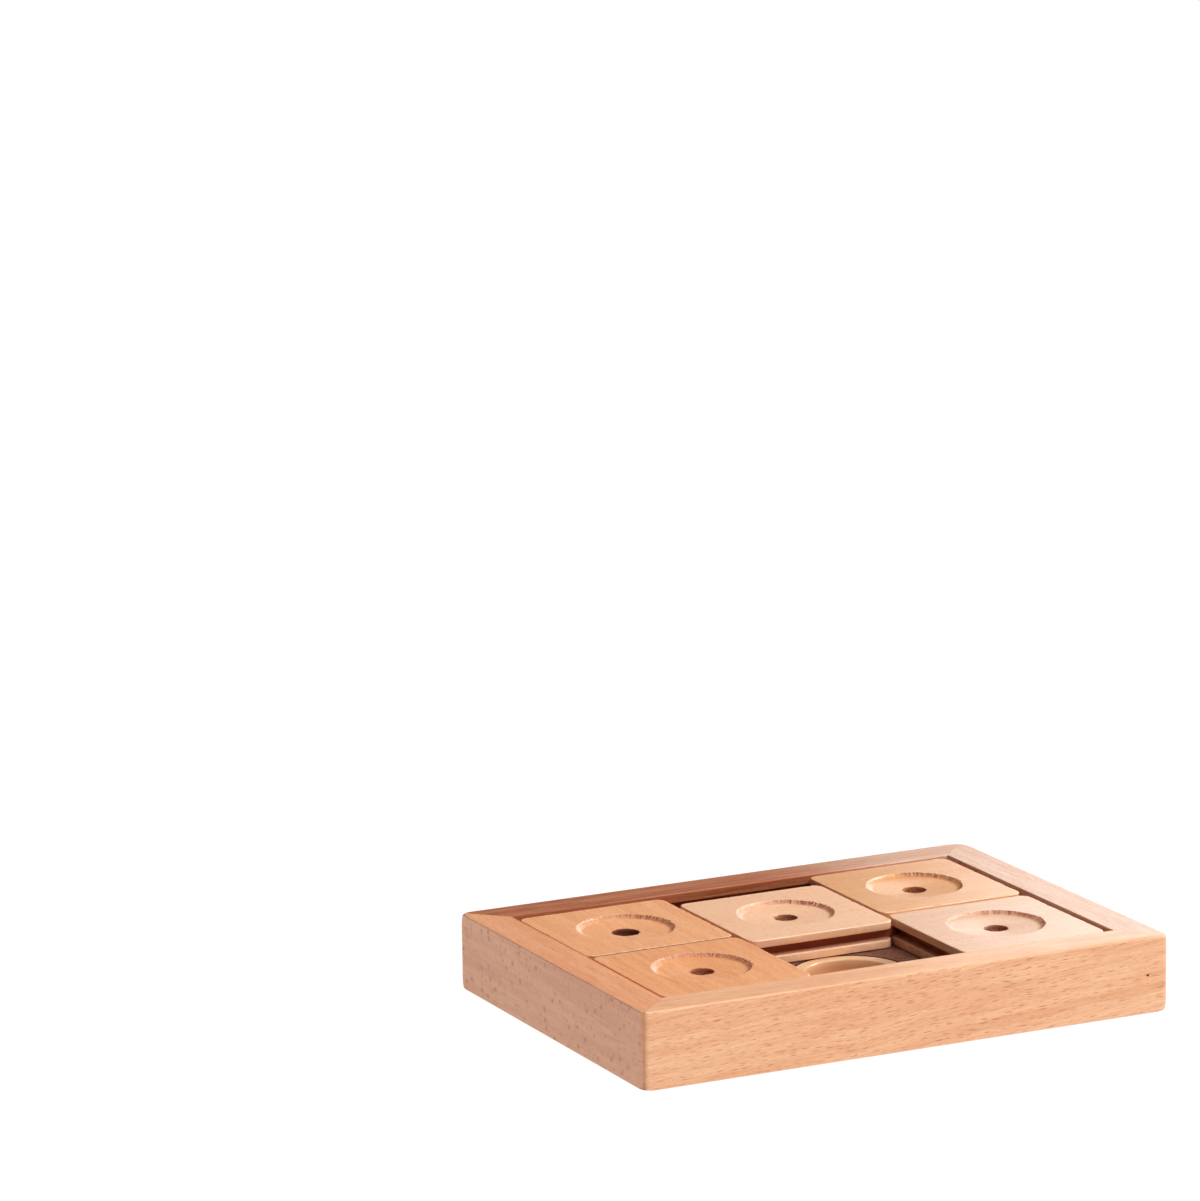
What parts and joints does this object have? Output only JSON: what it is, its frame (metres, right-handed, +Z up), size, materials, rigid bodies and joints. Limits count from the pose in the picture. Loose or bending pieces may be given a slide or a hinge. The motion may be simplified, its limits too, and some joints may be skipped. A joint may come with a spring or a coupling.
{
  "type": "dog puzzle feeder toy",
  "caption": "Wooden sliding-tile puzzle feeder: dimpled square tiles with scent holes slide on tongues and grooves over treat cups in a mitred tray, with one open cell.",
  "frame": {"origin": "on the floor under the middle of the tray", "axes": "+X right along the long side, +Y towards the back, +Z up"},
  "size_m": [0.2812, 0.2012, 0.039],
  "materials": {
    "beech_rail": "oiled beech, fine dark flecks along the grain",
    "beech_tile": "sanded beech, milled dimple with rough end grain",
    "dark_hardboard": "dark oil-tempered hardboard",
    "base_fibreboard": "brown speckled fibreboard",
    "panel_hardboard": "smooth brown hardboard",
    "cream_plastic": "glossy food-safe plastic",
    "foot_rubber": "matt black",
    "screw_steel": "zinc plated",
    "brad_steel": "dull steel nail head"
  },
  "bodies": {
    "tray": {"rail_front": "beech_rail", "rail_back": "beech_rail", "rail_left": "beech_rail", "rail_right": "beech_rail", "guide_strip_front": "dark_hardboard", "guide_strip_left": "dark_hardboard", "base_board": "base_fibreboard", "bottom_panel": "panel_hardboard", "treat_cup_front_left": "cream_plastic", "treat_cup_front_middle": "cream_plastic", "treat_cup_front_right": "cream_plastic", "treat_cup_back_left": "cream_plastic", "treat_cup_back_middle": "cream_plastic", "treat_cup_back_right": "cream_plastic", "rubber_feet": "foot_rubber", "bottom_screws": "screw_steel", "corner_brads": "brad_steel"},
    "tile_front_left": {"tile_cover_front_left": "beech_tile", "tile_core_front_left": "beech_tile", "tile_sole_front_left": "beech_tile"},
    "tile_front_right": {"tile_cover_front_right": "beech_tile", "tile_core_front_right": "beech_tile", "tile_sole_front_right": "beech_tile"},
    "tile_back_left": {"tile_cover_back_left": "beech_tile", "tile_core_back_left": "beech_tile", "tile_sole_back_left": "beech_tile"},
    "tile_back_middle": {"tile_cover_back_middle": "beech_tile", "tile_core_back_middle": "beech_tile", "tile_sole_back_middle": "beech_tile"},
    "tile_back_right": {"tile_cover_back_right": "beech_tile", "tile_core_back_right": "beech_tile", "tile_sole_back_right": "beech_tile"}
  },
  "joints": [
    {"name": "tile_back_middle_slide", "type": "slide", "parent": "tray", "child": "tile_back_middle", "axis": [0, -1, 0], "range_m": [-0.0157, 0.0666]},
    {"name": "tile_front_left_slide", "type": "slide", "parent": "tray", "child": "tile_front_left", "axis": [1, 0, 0], "range_m": [-0.0012, 0.0004]},
    {"name": "tile_front_right_slide", "type": "slide", "parent": "tray", "child": "tile_front_right", "axis": [1, 0, 0], "range_m": [-0.0008, 0.0018]},
    {"name": "tile_back_left_slide", "type": "slide", "parent": "tray", "child": "tile_back_left", "axis": [0, 1, 0], "range_m": [-0.0005, 0.0022]},
    {"name": "tile_back_right_slide", "type": "slide", "parent": "tray", "child": "tile_back_right", "axis": [1, 0, 0], "range_m": [-0.001, 0.0016]}
  ]
}
